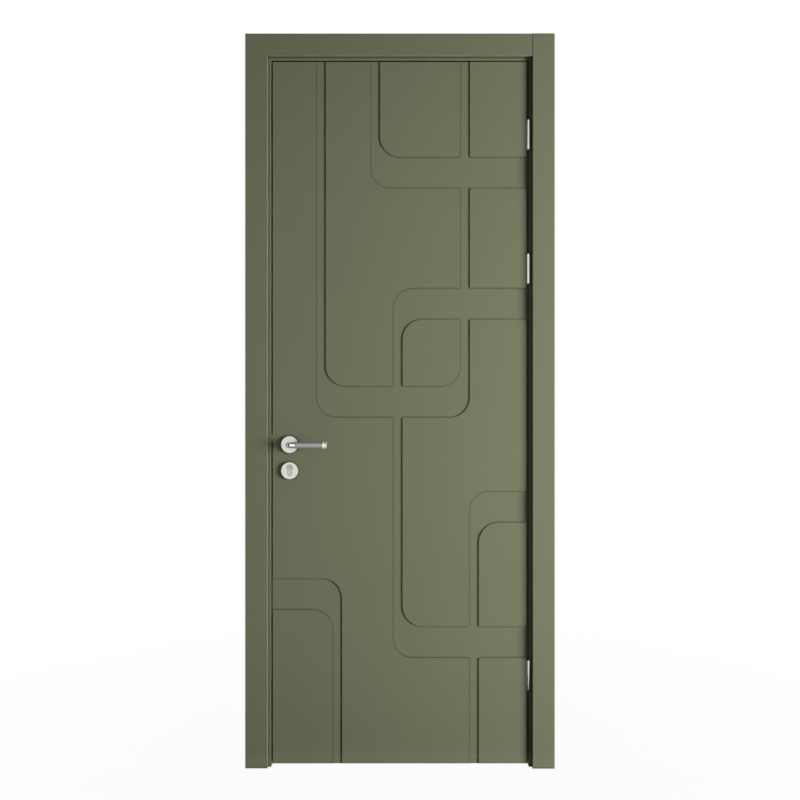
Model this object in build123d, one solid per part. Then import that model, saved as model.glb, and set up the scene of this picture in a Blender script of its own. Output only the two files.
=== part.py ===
from build123d import *
import os

# Flush interior door in its frame, without the wall.
# The origin lies on the floor, midway between the side jambs, in the plane of the wall face
# that the hinge barrels and the routed side of the leaf show on.
# X runs from the lock side to the hinge side, Y into the wall, Z up. All sizes in millimetres.

# Leaf
leaf_width = 800
leaf_height = 2200
leaf_thickness = 45
skin_thickness = 9
stile_width = 40
top_rail_height = 60
bottom_rail_height = 100
edge_easing = 1.2

# Gaps round the leaf
floor_gap = 10
edge_gap = 3

# Routed channels in the front skin, measured from the middle of the leaf and from its bottom edge
narrow_channel = 31
broad_channel = 99
channel_depth = 3
channel_corner = 63
channel_overrun = 40
hook_left_x = -248
hook_right_x = 203.5
hook_level = 1134
top_drop_x = -78
top_drop_level = 1852
loop_x = -7.5
loop_top_level = 1441.5
loop_bottom_level = 380.5
right_foot_x = 231.5
right_foot_level = 805
left_foot_x = -197
left_foot_level = 531

# Block that backs the lock inside the leaf
lock_block_width = 62
lock_block_height = 330

# Frame
jamb_thickness = 30
lining_depth = 140
stop_thickness = 12
stop_width = 40
seal_gap = 4
seal_bulb_width = 8
seal_barb = 3
seal_barb_depth = 6
reveal = 10
architrave_width = 70
architrave_thickness = 15
architrave_rounding = 2.5
tongue_inset = 4
tongue_thickness = 4
tongue_length = 8
groove_room = 1
joint_clearance = 0.2

# Hinges, with their heights measured from the leaf's edges
hinge_height = 90
hinge_plate_thickness = 2.5
hinge_plate_depth = 30
hinge_plate_corner = 6
barrel_radius = 6.25
pin_radius = 3
pin_cap_radius = 5
pin_cap_height = 1.5
pin_stand_off = 6.5
knuckle_count = 5
knuckle_clearance = 0.15
top_hinge_drop = 231
middle_hinge_drop = 650
bottom_hinge_rise = 280

# Screws: head radius, head height, shank radius, length
strike_screw = (3.8, 2, 1.9, 20)
forend_screw = (3.8, 2, 1.9, 22)
frame_screw = (5, 3, 2.5, 80)
cylinder_screw = (4, 2.5, 2.5, 62)

# Lock
spindle_height = 1010
backset = 55
lock_spacing = 72
forend_length = 235
forend_width = 24
forend_thickness = 3
forend_rise = 78
case_depth = 83
case_thickness = 16
case_wall = 1.5
case_rise = 45
case_drop = 118
mortise_clearance = 1
spindle_side = 8
spindle_length = 104
follower_radius = 10
follower_journal = 7.5
follower_arm_length = 16
follower_arm_tip = 3
follower_arm_thickness = 6
latch_rise = 23
latch_height = 22
latch_thickness = 12
latch_throw = 11.5
latch_head_length = 22
latch_full_length = 4
latch_tail_height = 6
bolt_drop = 35
bolt_height = 30
bolt_thickness = 12
bolt_head_length = 27
bolt_tail_length = 38
bolt_tail_height = 12
tail_thickness = 4
latch_hook_clearance = 0.7
slide_clearance = 0.3
bearing_clearance = 0.05

# Profile cylinder
profile_radius = 8.5
profile_stem = 10
profile_height = 33
plug_radius = 6.5
cylinder_projection = 2
cam_width = 10
cam_radius = 15
cam_tooth_width = 7
keyway_width = 8
keyway_height = 2.4
keyway_depth = 20
turn_width = 30
turn_thickness = 9
turn_length = 18

# Strike plate
strike_length = 170
strike_thickness = 2
strike_width = 24
strike_rise = 60
strike_clearance = 0.6
box_wall = 1.2
box_depth = 23

# Lever furniture
rosette_radius = 27.5
rosette_height = 8.5
rosette_wall = 1.5
rosette_bevel = 1.4
rosette_bolt_radius = 2
rosette_bolt_spacing = 38
bolt_sleeve_radius = 3
neck_radius = 9
neck_bend = 14
lever_stand_off = 50
lever_length = 118
lever_waist_radius = 7.6
lever_waist_start = 19
grip_start = 22
grip_end = 103
grip_radius = 9.8
rod_radius = 6
grip_easing = 1.2
rod_overrun = 2
cap_radius = 11.4
cap_waist_radius = 8.2
cap_length = 11
cap_dish = 2
grub_screw_radius = 2.5
grub_screw_stand_off = 16

# Worked-out places
half_leaf = leaf_width / 2
half_opening = half_leaf + edge_gap
leaf_bottom = floor_gap
leaf_top = leaf_bottom + leaf_height
opening_top = leaf_top + edge_gap
frame_top = opening_top + jamb_thickness
jamb_outside = half_opening + jamb_thickness
stop_front = leaf_thickness + seal_gap
stop_inside = half_opening - stop_thickness
seal_centre = half_opening - stop_thickness / 2
trim_inside = half_opening + reveal
trim_head = opening_top + reveal
trim_top = trim_head + architrave_width
mid_leaf = leaf_thickness / 2
core_back = leaf_thickness - skin_thickness
pin_x = half_leaf + edge_gap / 2
pin_y = -pin_stand_off
spindle_x = backset - half_leaf
cylinder_height = spindle_height - lock_spacing
profile_drop = profile_height - profile_radius - profile_stem / 2
hinge_levels = (
    leaf_top - top_hinge_drop,
    leaf_top - middle_hinge_drop,
    leaf_bottom + bottom_hinge_rise,
)
mid_leaf_plane = Plane(origin=(0, mid_leaf, 0), z_dir=(0, 1, 0))
mid_lining_plane = Plane(origin=(0, lining_depth / 2, 0), z_dir=(0, 1, 0))


def block(x, y, z):
    """A box that spans three (low, high) pairs."""
    spans = [high - low for low, high in (x, y, z)]
    centre = [(high + low) / 2 for low, high in (x, y, z)]
    return Pos(*centre) * Box(*spans)


def about(centre, width):
    """The (low, high) pair of a width about its centre."""
    return centre - width / 2, centre + width / 2


def facing(x, y, z, direction):
    """A place whose own Z looks along the direction."""
    return Plane(origin=(x, y, z), z_dir=direction).location


def into_wall(sketch, x, z, y_low, y_high):
    """Extrude a sketch drawn as seen from the front, X right and Z up."""
    view = Plane(origin=(x, y_high, z), x_dir=(1, 0, 0), z_dir=(0, -1, 0))
    return view * extrude(sketch, y_high - y_low)


def from_edge(sketch, x_low, x_high, z=0):
    """Extrude along X a sketch drawn with Y to the right and Z up."""
    view = Plane(origin=(x_low, 0, z), x_dir=(0, 1, 0), z_dir=(1, 0, 0))
    return view * extrude(sketch, x_high - x_low)


def turned(*outline):
    """Revolve an outline of (radius, height) points about Z."""
    corners = [point for index, point in enumerate(outline) if point != outline[index - 1]]
    face = Plane.XZ * make_face(Polyline(*corners, close=True))
    return revolve(face, Axis.Z)


def screw(size, room=0):
    """Countersunk screw that points down from a head flush at Z zero; room widens its hole."""
    head_radius, head_height, shank_radius, length = size
    return turned(
        (0, 0),
        (head_radius + room, 0),
        (shank_radius + room, -head_height),
        (shank_radius + room, -length),
        (0, -length),
    )


def save(name, shape):
    """Write one sub-part."""
    shape.label = name
    export_step(shape, f"parts/{name}.step")


def group(shapes):
    """Like pieces that share one sub-part but stay separate solids."""
    return Compound(children=[solid for shape in shapes for solid in shape.solids()])


# Frame


def lining_groove(length):
    """Groove in a lining's edge for the architrave's tongue, cut along Z."""
    centre = reveal + tongue_inset + tongue_thickness / 2
    width = tongue_thickness + 2 * joint_clearance
    depth = tongue_length + groove_room
    front = block(about(centre, width), (0, depth), (0, length))
    return front + front.mirror(mid_lining_plane)


def side_jamb():
    """Hinge-side lining board, before its recesses are cut."""
    board = block((half_opening, jamb_outside), (0, lining_depth), (0, frame_top))
    return board - Pos(half_opening, 0, 0) * lining_groove(frame_top)


def frame_screw_places():
    """Two screws through the hinge jamb into the end of the head."""
    level = opening_top + jamb_thickness / 2
    return [facing(jamb_outside, share * lining_depth, level, (1, 0, 0)) for share in (0.3, 0.7)]


def head_jamb():
    """Board between the side jambs, over the leaf."""
    board = block((-half_opening, half_opening), (0, lining_depth), (opening_top, frame_top))
    grooves = Rot(0, 90, 0) * lining_groove(2 * half_opening)
    return board - Pos(-half_opening, 0, opening_top) * grooves.mirror(Plane.XY)


def architrave_profile():
    """Section across an architrave: inner edge at X zero, front at minus Y. Its back bears on the wall
    at Y zero, and stays a hair clear of the lining's edge."""
    lining_lap = jamb_thickness - reveal
    outline = FilletPolyline(
        (0, -joint_clearance),
        (0, -architrave_thickness),
        (architrave_width, -architrave_thickness),
        (architrave_width, 0),
        (lining_lap, 0),
        (lining_lap, -joint_clearance),
        radius=[0, architrave_rounding, architrave_rounding, 0, 0, 0],
        close=True,
    )
    root = architrave_thickness / 2
    tongue = Pos(tongue_inset + tongue_thickness / 2, (tongue_length - root) / 2)
    return make_face(outline) + tongue * Rectangle(tongue_thickness, tongue_length + root)


def architrave_leg():
    """Front leg on the hinge side, with its tongue in the jamb's groove."""
    leg = Pos(trim_inside, 0, 0) * extrude(architrave_profile(), trim_top)
    tongue_end = block((trim_inside - 1, jamb_outside), (0, tongue_length), (frame_top, trim_top))
    return leg - tongue_end


def architrave_head():
    """Front piece over the opening, butted between the legs."""
    section = Plane(origin=(-trim_inside, 0, trim_head), x_dir=(0, 0, 1), z_dir=(1, 0, 0))
    piece = section * extrude(architrave_profile().mirror(Plane.XZ), 2 * trim_inside)
    for end in (-1, 1):
        tongue_end = sorted((end * half_opening, end * trim_inside))
        piece -= block(tongue_end, (0, tongue_length), (trim_head, trim_top))
    return piece


def seal_profile(room=0):
    """Section of the seal: bulb in front of the stop, barb in its kerf; Y into the wall."""
    bulb_depth = seal_gap - slide_clearance
    bulb = Pos(0, stop_front - bulb_depth / 2) * RectangleRounded(
        seal_bulb_width, bulb_depth, bulb_depth * 0.45
    )
    barb = Pos(0, stop_front + seal_barb_depth / 2 - 0.5) * Rectangle(
        seal_barb + 2 * room, seal_barb_depth + 1 + 2 * room
    )
    return barb if room else bulb + barb


def seal_run(section):
    """Carry a section up the hinge side, across the head and down the lock side."""
    level = opening_top - stop_thickness / 2
    side = Pos(seal_centre, 0, 0) * extrude(section, level)
    across = Plane(origin=(-seal_centre, 0, level), x_dir=(0, 0, 1), z_dir=(1, 0, 0))
    over = across * extrude(section.mirror(Plane.XZ), 2 * seal_centre)
    return side + side.mirror(Plane.YZ) + over


def door_seal():
    """One length of seal round the rebate, clear of the floor."""
    run = seal_run(seal_profile())
    return run - block((-half_opening, half_opening), (0, lining_depth), (0, 2))


def stops():
    """Planted stops, kerfed for the seal: lock side, hinge side and head."""
    depth = (stop_front, stop_front + stop_width)
    side = block((stop_inside, half_opening), depth, (0, opening_top))
    over = block((-stop_inside, stop_inside), depth, (opening_top - stop_thickness, opening_top))
    kerf = seal_run(seal_profile(joint_clearance))
    return side.mirror(Plane.YZ) - kerf, side - kerf, over - kerf


# Hinges


def plate_outline(room=0):
    """Hinge plate seen along X, from the pin's plane to its depth, about its middle height."""
    low = pin_y
    high = hinge_plate_depth + room
    half = hinge_height / 2 + room
    corner = hinge_plate_corner
    outline = FilletPolyline(
        (low, -half), (high, -half), (high, half), (low, half), radius=[0, corner, corner, 0], close=True
    )
    return make_face(outline)


def knuckle_span(level, index):
    """Middle height and length of one knuckle; the frame's knuckles have even numbers."""
    pitch = hinge_height / knuckle_count
    return level - hinge_height / 2 + (index + 0.5) * pitch, pitch - 2 * knuckle_clearance


def knuckle(level, index):
    """One length of the barrel."""
    centre, height = knuckle_span(level, index)
    return Pos(pin_x, pin_y, centre) * Cylinder(barrel_radius, height)


def hinge_leaf(level, first_knuckle, plate_face, direction):
    """Plate with its knuckles; plate_face is the X of the face that shows in the gap."""
    back = plate_face - direction * hinge_plate_thickness
    plate = from_edge(plate_outline(), *sorted((plate_face, back)), level)
    other = 1 - first_knuckle
    notch = 2 * (barrel_radius + slide_clearance)
    for index in range(other, knuckle_count, 2):
        centre, height = knuckle_span(level, index)
        plate -= Pos(pin_x, pin_y, centre) * Box(notch, notch, height + 4 * knuckle_clearance)
    for index in range(first_knuckle, knuckle_count, 2):
        plate += knuckle(level, index)
    return plate - Pos(pin_x, pin_y, level) * Cylinder(pin_radius + bearing_clearance, hinge_height)


def hinge_pin(level):
    """Pin with a flat cap at each end of the barrel."""
    half = hinge_height / 2
    return Pos(pin_x, pin_y, level) * turned(
        (0, -half - pin_cap_height),
        (pin_cap_radius, -half - pin_cap_height),
        (pin_cap_radius, -half),
        (pin_radius, -half),
        (pin_radius, half),
        (pin_cap_radius, half),
        (pin_cap_radius, half + pin_cap_height),
        (0, half + pin_cap_height),
    )


def hinge_recess(level, face, direction):
    """Room for one plate in the edge that it is let into."""
    low, high = sorted((face + direction, face - direction * hinge_plate_thickness))
    return from_edge(plate_outline(joint_clearance), low, high, level)


# Leaf


def channel(widths, *points):
    """Outline of a channel along level and upright runs, with its inner corners rounded."""
    left, right, radii = [], [], []
    directions = [(Vector(*b) - Vector(*a)).normalized() for a, b in zip(points, points[1:])]
    sides = [Vector(-d.Y, d.X) * width / 2 for d, width in zip(directions, widths)]
    for number, point in enumerate(points):
        before = sides[number - 1] if number > 0 else Vector(0, 0)
        after = sides[number] if number < len(sides) else Vector(0, 0)
        left.append(Vector(*point) + before + after)
        right.append(Vector(*point) - before - after)
        inner = 0 < number < len(points) - 1
        radii.append(channel_corner if inner else 0)
    outline = FilletPolyline(*left, *reversed(right), radius=radii + radii[::-1], close=True)
    return make_face(outline)


def channels():
    """All the routed channels, seen from the front, measured up from the leaf's bottom edge."""
    over = leaf_height + channel_overrun
    under = -channel_overrun
    hinge_side = half_leaf + channel_overrun
    lock_side = -hinge_side
    n, b = narrow_channel, broad_channel
    hook = channel(
        (n, b, n),
        (hook_left_x, over),
        (hook_left_x, hook_level),
        (hook_right_x, hook_level),
        (hook_right_x, over),
    )
    top_drop = channel((n, b), (top_drop_x, over), (top_drop_x, top_drop_level), (hinge_side, top_drop_level))
    loop = channel(
        (b, n, b),
        (hinge_side, loop_top_level),
        (loop_x, loop_top_level),
        (loop_x, loop_bottom_level),
        (hinge_side, loop_bottom_level),
    )
    right_foot = channel(
        (b, n), (hinge_side, right_foot_level), (right_foot_x, right_foot_level), (right_foot_x, under)
    )
    left_foot = channel(
        (b, n), (lock_side, left_foot_level), (left_foot_x, left_foot_level), (left_foot_x, under)
    )
    return hook + top_drop + loop + right_foot + left_foot


def skin_board(y_low, y_high):
    """Plain skin over the whole leaf."""
    return block((-half_leaf, half_leaf), (y_low, y_high), (leaf_bottom, leaf_top))


def eased(board, y):
    """Ease the four outer edges of a skin's visible face at Y."""
    return chamfer(board.faces().sort_by(Axis.Y)[0 if y == 0 else -1].edges(), edge_easing)


def front_skin():
    """Routed front board."""
    board = eased(skin_board(0, skin_thickness), 0)
    board -= into_wall(channels(), 0, leaf_bottom, 0, channel_depth)
    return board


def euro_profile(room=0):
    """Outline of the profile cylinder about its plug, stem downwards."""
    stem = Pos(0, -profile_drop / 2) * Rectangle(profile_stem + 2 * room, profile_drop)
    foot = Pos(0, -profile_drop) * Circle(profile_stem / 2 + room)
    return Circle(profile_radius + room) + stem + foot


def rosette_bolt_places():
    """X of the bolts that pull the lever's two rosettes together, level with the spindle."""
    return about(spindle_x, rosette_bolt_spacing)


def furniture_holes():
    """Everything drilled through the leaf for the lever, the cylinder and the bolts."""
    cuts = into_wall(Circle(neck_radius + 1), spindle_x, spindle_height, 0, leaf_thickness)
    cuts += into_wall(euro_profile(1), spindle_x, cylinder_height, 0, leaf_thickness)
    for x in rosette_bolt_places():
        cuts += into_wall(Circle(bolt_sleeve_radius), x, spindle_height, 0, leaf_thickness)
    return cuts


def lock_mortise():
    """Room for the case and the forend, cut in from the leaf's edge."""
    gap = mortise_clearance
    deep = (-half_leaf, case_back + gap)
    high = (spindle_height - case_drop - gap, spindle_height + case_rise + gap)
    room = block(deep, about(mid_leaf, case_thickness + gap), high)
    return room + forend_blank(joint_clearance)


def chipboard_core():
    """Core between the stiles and rails, notched for the lock block."""
    span = half_leaf - stile_width
    low, high = leaf_bottom + bottom_rail_height, leaf_top - top_rail_height
    core = block((-span, span), (skin_thickness, core_back), (low, high))
    return core - lock_block_room()


def lock_block_room():
    """The space beside the lock stile that the lock block fills."""
    inner = stile_width - half_leaf
    centre = spindle_height - (case_drop - case_rise) / 2
    return block(
        (inner, inner + lock_block_width), (skin_thickness, core_back), about(centre, lock_block_height)
    )


# Lock, seen from the front; its own parts lie about the middle of the leaf's thickness

case_front = forend_thickness - half_leaf
case_back = case_front + case_depth


def forend_outline(length, width):
    """Round-ended plate seen along X, with Y to the right."""
    return Pos(mid_leaf, 0) * Rot(0, 0, 90) * SlotOverall(length, width)


def forend_blank(room=0):
    """The forend's plate, let into the leaf's edge."""
    centre = spindle_height + forend_rise - forend_length / 2
    outline = forend_outline(forend_length + 2 * room, forend_width + 2 * room)
    return from_edge(outline, -half_leaf, case_front, centre)


def forend_screw_places():
    """Screws at the ends of the forend."""
    ends = (spindle_height + forend_rise, spindle_height + forend_rise - forend_length)
    inset = forend_width / 2
    return [
        facing(-half_leaf, mid_leaf, ends[0] - inset, (-1, 0, 0)),
        facing(-half_leaf, mid_leaf, ends[1] + inset, (-1, 0, 0)),
    ]


def cylinder_screw_place():
    """Screw from the forend to the cylinder's stem."""
    return facing(-half_leaf, mid_leaf, cylinder_height - profile_drop, (-1, 0, 0))


def latch_window(room):
    """Opening that the latch passes, along the leaf's edge."""
    level = spindle_height + latch_rise
    return about(mid_leaf, latch_thickness + 2 * room), about(level, latch_height + 2 * room)


def bolt_window(room):
    """Opening that the deadbolt passes."""
    level = spindle_height - bolt_drop
    return about(mid_leaf, bolt_thickness + 2 * room), about(level, bolt_height + 2 * room)


def lock_forend():
    """Forend with its windows and screw holes."""
    plate = forend_blank()
    through = (-half_leaf - 1, case_front + 1)
    plate -= block(through, *latch_window(slide_clearance))
    plate -= block(through, *bolt_window(slide_clearance))
    for place in forend_screw_places():
        plate -= place * screw(forend_screw, bearing_clearance)
    return plate - cylinder_screw_place() * screw(cylinder_screw, bearing_clearance)


def lock_case():
    """Pressed case, open to the forend, with the follower's and the cylinder's openings."""
    high = (spindle_height - case_drop, spindle_height + case_rise)
    case = block((case_front, case_back), about(mid_leaf, case_thickness), high)
    inside = (high[0] + case_wall, high[1] - case_wall)
    clear = case_thickness - 2 * case_wall
    case -= block((case_front - 1, case_back - case_wall), about(mid_leaf, clear), inside)
    case -= into_wall(
        Circle(follower_journal + bearing_clearance), spindle_x, spindle_height, 0, leaf_thickness
    )
    case -= into_wall(euro_profile(slide_clearance), spindle_x, cylinder_height, 0, leaf_thickness)
    for x in rosette_bolt_places():
        case -= into_wall(Circle(bolt_sleeve_radius), x, spindle_height, 0, leaf_thickness)
    return case


def follower():
    """Hub with journals in the case, a square hole and the arm that draws the latch."""
    clear = case_thickness - 2 * case_wall - 2 * slide_clearance
    arm_y = about(mid_leaf, follower_arm_thickness)
    hub = into_wall(Circle(follower_radius), spindle_x, spindle_height, *about(mid_leaf, clear))
    hub += into_wall(
        Circle(follower_journal), spindle_x, spindle_height, *about(mid_leaf, case_thickness)
    )
    arm = Pos(0, follower_arm_length / 2) * Rectangle(2 * follower_arm_tip, follower_arm_length)
    arm += Pos(0, follower_arm_length) * Circle(follower_arm_tip)
    hub += into_wall(arm, spindle_x, spindle_height, *arm_y)
    square = Rectangle(spindle_side + 2 * bearing_clearance, spindle_side + 2 * bearing_clearance)
    return hub - into_wall(square, spindle_x, spindle_height, 0, leaf_thickness)


def latch_bolt():
    """Bevelled latch with a tail that hooks behind the follower's arm."""
    tip = -half_leaf - latch_throw
    root = tip + latch_head_length + latch_throw
    y_low, y_high = about(mid_leaf, latch_thickness)
    outline = Polyline(
        (tip, y_low),
        (root, y_low),
        (root, y_high),
        (tip + latch_throw - 1, y_high),
        (tip, y_low + latch_full_length),
        close=True,
    )
    level = spindle_height + latch_rise
    head = Pos(0, 0, level - latch_height / 2) * extrude(make_face(outline), latch_height)
    hook = spindle_x + follower_arm_tip + latch_hook_clearance
    arm_top = spindle_height + follower_arm_length + follower_arm_tip
    tail_y = about(mid_leaf, tail_thickness)
    tail_low = arm_top + 2
    strip = block((root, hook + tail_thickness), tail_y, (tail_low, tail_low + latch_tail_height))
    tab = block((hook, hook + tail_thickness), tail_y, (spindle_height + follower_radius + 1, tail_low))
    return head + strip + tab


def deadbolt():
    """Deadbolt, drawn back, with a notched tail over the cam."""
    root = bolt_head_length - half_leaf
    y, z = bolt_window(0)
    head = block((slide_clearance - half_leaf, root), y, z)
    tail = (z[0], z[0] + bolt_tail_height)
    plate = block((root, root + bolt_tail_length), about(mid_leaf, tail_thickness), tail)
    notch = Pos(spindle_x, mid_leaf, z[0]) * Box(cam_tooth_width + 2, case_thickness, bolt_tail_height)
    return head + plate - notch


def cylinder_body():
    """Profile cylinder with its plug bores, cam slot and screw hole."""
    front = -rosette_height - cylinder_projection
    back = leaf_thickness - front
    body = into_wall(euro_profile(), spindle_x, cylinder_height, front, back)
    body -= into_wall(Circle(plug_radius + bearing_clearance), spindle_x, cylinder_height, front, back)
    sweep_room = cam_radius + slide_clearance
    slot = (cylinder_height - sweep_room, cylinder_height + profile_radius + 1)
    wide = about(spindle_x, 2 * profile_radius + 2)
    body -= block(wide, about(mid_leaf, cam_width + 2 * slide_clearance), slot)
    return body - cylinder_screw_place() * screw(cylinder_screw, bearing_clearance)


def cylinder_plug():
    """Front plug with its keyway across, up to the cam."""
    front = -rosette_height - cylinder_projection
    plug = into_wall(
        Circle(plug_radius), spindle_x, cylinder_height, front, mid_leaf - cam_width / 2
    )
    keyway = RectangleRounded(keyway_width, keyway_height, keyway_height / 3)
    return plug - into_wall(keyway, spindle_x, cylinder_height, front, front + keyway_depth)


def cylinder_cam():
    """Cam between the plug and the thumb turn, its tooth standing down."""
    tooth = Pos(0, -cam_radius / 2) * Rectangle(cam_tooth_width, cam_radius)
    disc = Circle(profile_radius - 0.5) + tooth & Circle(cam_radius)
    return into_wall(disc, spindle_x, cylinder_height, *about(mid_leaf, cam_width))


def thumb_turn():
    """Oval turn on the rear end of the cylinder."""
    back = leaf_thickness + rosette_height + cylinder_projection
    shaft = into_wall(
        Circle(plug_radius), spindle_x, cylinder_height, mid_leaf + cam_width / 2, back + 2
    )
    collar = into_wall(
        Circle(profile_radius + 1), spindle_x, cylinder_height, back + slide_clearance, back + 3
    )
    wing = Rot(0, 0, 90) * SlotOverall(turn_width, turn_thickness)
    return shaft + collar + into_wall(wing, spindle_x, cylinder_height, back + 3, back + turn_length)


# Strike plate on the lock jamb


def strike_blank(room=0):
    """Strike's plate, let into the jamb and carried out to its front edge as a lip."""
    x = (-half_opening - strike_thickness, -half_opening)
    top = spindle_height + strike_rise
    plate = block(x, about(mid_leaf, strike_width + 2 * room), (top - strike_length - room, top + room))
    lip_z = about(spindle_height + latch_rise, latch_height + 20 + 2 * room)
    return plate + block(x, (0, mid_leaf), lip_z)


def strike_screw_places():
    """Screws near the ends of the strike."""
    top = spindle_height + strike_rise
    return [
        facing(-half_opening, mid_leaf, level, (1, 0, 0))
        for level in (top - strike_width / 3, top - strike_length + strike_width / 3)
    ]


def strike_plate():
    """Strike with its two windows and screw holes."""
    plate = strike_blank()
    through = (-half_opening - strike_thickness - 1, -half_opening + 1)
    plate -= block(through, *latch_window(strike_clearance))
    plate -= block(through, *bolt_window(strike_clearance))
    for place in strike_screw_places():
        plate -= place * screw(strike_screw, bearing_clearance)
    return plate


def strike_box_block(room):
    """Outside of the dust box behind the strike; room shrinks or widens it all round."""
    back = -half_opening - strike_thickness - box_depth
    low = bolt_window(strike_clearance)[1][0] - room
    high = latch_window(strike_clearance)[1][1] + room
    x = (back - room, -half_opening - strike_thickness)
    return block(x, about(mid_leaf, latch_thickness + 2 * strike_clearance + 2 * room), (low, high))


def strike_box():
    """Open moulded box that the latch and the deadbolt enter."""
    return strike_box_block(box_wall) - strike_box_block(0)


# Lever furniture, drawn about the spindle with Z out of the leaf's face

front_rose = Plane(origin=(spindle_x, 0, spindle_height), x_dir=(1, 0, 0), z_dir=(0, -1, 0))
front_key_rose = Plane(
    origin=(spindle_x, 0, cylinder_height - profile_drop / 2), x_dir=(1, 0, 0), z_dir=(0, -1, 0)
)


def rosette_cover():
    """Turned cover of the lever's rosette."""
    inside = rosette_radius - rosette_wall
    bore = neck_radius + bearing_clearance
    return turned(
        (inside, 0),
        (rosette_radius, 0),
        (rosette_radius, rosette_height - rosette_bevel),
        (rosette_radius - rosette_bevel, rosette_height),
        (bore, rosette_height),
        (bore, rosette_height - rosette_wall),
        (inside, rosette_height - rosette_wall),
    )


def rosette_base():
    """Base under the cover: it carries the neck and takes the bolts."""
    disc = Cylinder(
        rosette_radius - rosette_wall - joint_clearance,
        rosette_height - rosette_wall,
        align=(Align.CENTER, Align.CENTER, Align.MIN),
    )
    disc -= Cylinder(neck_radius + bearing_clearance, 3 * rosette_height)
    for offset in (-rosette_bolt_spacing / 2, rosette_bolt_spacing / 2):
        disc -= Pos(offset, 0, 0) * Cylinder(rosette_bolt_radius + bearing_clearance, 3 * rosette_height)
    return disc


def key_rosette():
    """Rosette of the cylinder, in one piece, gripping its profile."""
    outline = turned(
        (0, 0),
        (rosette_radius, 0),
        (rosette_radius, rosette_height - rosette_bevel),
        (rosette_radius - rosette_bevel, rosette_height),
        (0, rosette_height),
    )
    profile = Pos(0, profile_drop / 2) * euro_profile(slide_clearance)
    return outline - extrude(profile, rosette_height)


def rosette_bolts():
    """Bolts through the leaf, from base to base, each in its sleeve's hole."""
    reach = rosette_height - rosette_wall
    return [
        into_wall(Circle(rosette_bolt_radius), x, spindle_height, -reach, leaf_thickness + reach)
        for x in rosette_bolt_places()
    ]


def lever_neck():
    """Polished neck: out of the rosette, round the bend and on as the rod under the grip."""
    start = 0.5
    bend_start = lever_stand_off - neck_bend
    neck = Pos(0, 0, start) * extrude(Circle(neck_radius), bend_start - start)
    bend_axis = Axis((neck_bend, 0, bend_start), (0, 1, 0))
    neck += revolve(Pos(0, 0, bend_start) * Circle(neck_radius), bend_axis, 90)
    waist = turned(
        (0, neck_bend),
        (neck_radius, neck_bend),
        (neck_radius, lever_waist_start),
        (lever_waist_radius, grip_start),
        (rod_radius, grip_start),
        (rod_radius, grip_end + rod_overrun),
        (0, grip_end + rod_overrun),
    )
    neck += along_lever() * waist
    side = spindle_side + 2 * bearing_clearance
    socket_depth = (spindle_length - leaf_thickness) / 2
    neck -= Box(side, side, 2 * (socket_depth + slide_clearance))
    return neck - grub_screw_hole(bearing_clearance)


def grub_screw_hole(room):
    """The grub screw under the neck, up to the spindle; room widens it."""
    height = neck_radius - spindle_side / 2
    centre = -(neck_radius + spindle_side / 2) / 2
    screw_body = Cylinder(grub_screw_radius + room, height - 0.5)
    return Pos(0, centre + 0.25, grub_screw_stand_off) * Rot(90, 0, 0) * screw_body


def along_lever():
    """Place of the grip's axis, looking towards its end."""
    return Plane(origin=(0, 0, lever_stand_off), x_dir=(0, 1, 0), z_dir=(1, 0, 0)).location


def lever_grip():
    """Satin sleeve over the rod."""
    bore = rod_radius + bearing_clearance
    return along_lever() * turned(
        (bore, grip_start),
        (grip_radius - grip_easing, grip_start),
        (grip_radius, grip_start + 2 * grip_easing),
        (grip_radius, grip_end),
        (bore, grip_end),
    )


def lever_cap():
    """Polished end cap with a waist and a dished end."""
    bore = rod_radius + bearing_clearance
    flare = lever_length - cap_length
    return along_lever() * turned(
        (bore, grip_end),
        (cap_waist_radius, grip_end),
        (cap_waist_radius, flare),
        (cap_radius, flare),
        (cap_radius, lever_length),
        (0, lever_length - cap_dish),
        (0, grip_end + rod_overrun),
        (bore, grip_end + rod_overrun),
    )


def spindle():
    """Square bar through the follower, from neck to neck."""
    side = spindle_side
    return into_wall(
        Rectangle(side, side), spindle_x, spindle_height, *about(mid_leaf, spindle_length)
    )


def write_frame():
    """Lining, stops, seal, architraves and the strike."""
    hinge_jamb = side_jamb()
    lock_jamb = hinge_jamb.mirror(Plane.YZ)
    for level in hinge_levels:
        hinge_jamb -= hinge_recess(level, half_opening, -1)
    lock_jamb -= strike_blank(joint_clearance)
    lock_jamb -= strike_box_block(box_wall + joint_clearance)
    save("hinge_jamb", hinge_jamb)
    save("lock_jamb", lock_jamb)
    save("head_jamb", head_jamb())
    corner_screws = [place * screw(frame_screw) for place in frame_screw_places()]
    corner_screws += [piece.mirror(Plane.YZ) for piece in corner_screws]
    save("frame_screws", group(corner_screws))

    for name, stop in zip(("lock_side_stop", "hinge_side_stop", "head_stop"), stops()):
        save(name, stop)
    save("door_seal", door_seal())

    leg = architrave_leg()
    over = architrave_head()
    for side, piece in (
        ("hinge_side", leg),
        ("lock_side", leg.mirror(Plane.YZ)),
        ("head", over),
    ):
        save(f"front_architrave_{side}", piece)
        save(f"rear_architrave_{side}", piece.mirror(mid_lining_plane))

    save("strike_plate", strike_plate())
    save("strike_box", strike_box())
    save("strike_screws", group(place * screw(strike_screw) for place in strike_screw_places()))


def write_hinges():
    """Three butt hinges: leaves on the frame, leaves on the door, and their pins."""
    for name, first_knuckle, face, direction in (
        ("frame", 0, half_opening, -1),
        ("door", 1, half_leaf, 1),
    ):
        leaves = [hinge_leaf(level, first_knuckle, face, direction) for level in hinge_levels]
        save(f"hinge_{name}_leaves", group(leaves))
    save("hinge_pins", group(hinge_pin(level) for level in hinge_levels))


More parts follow.
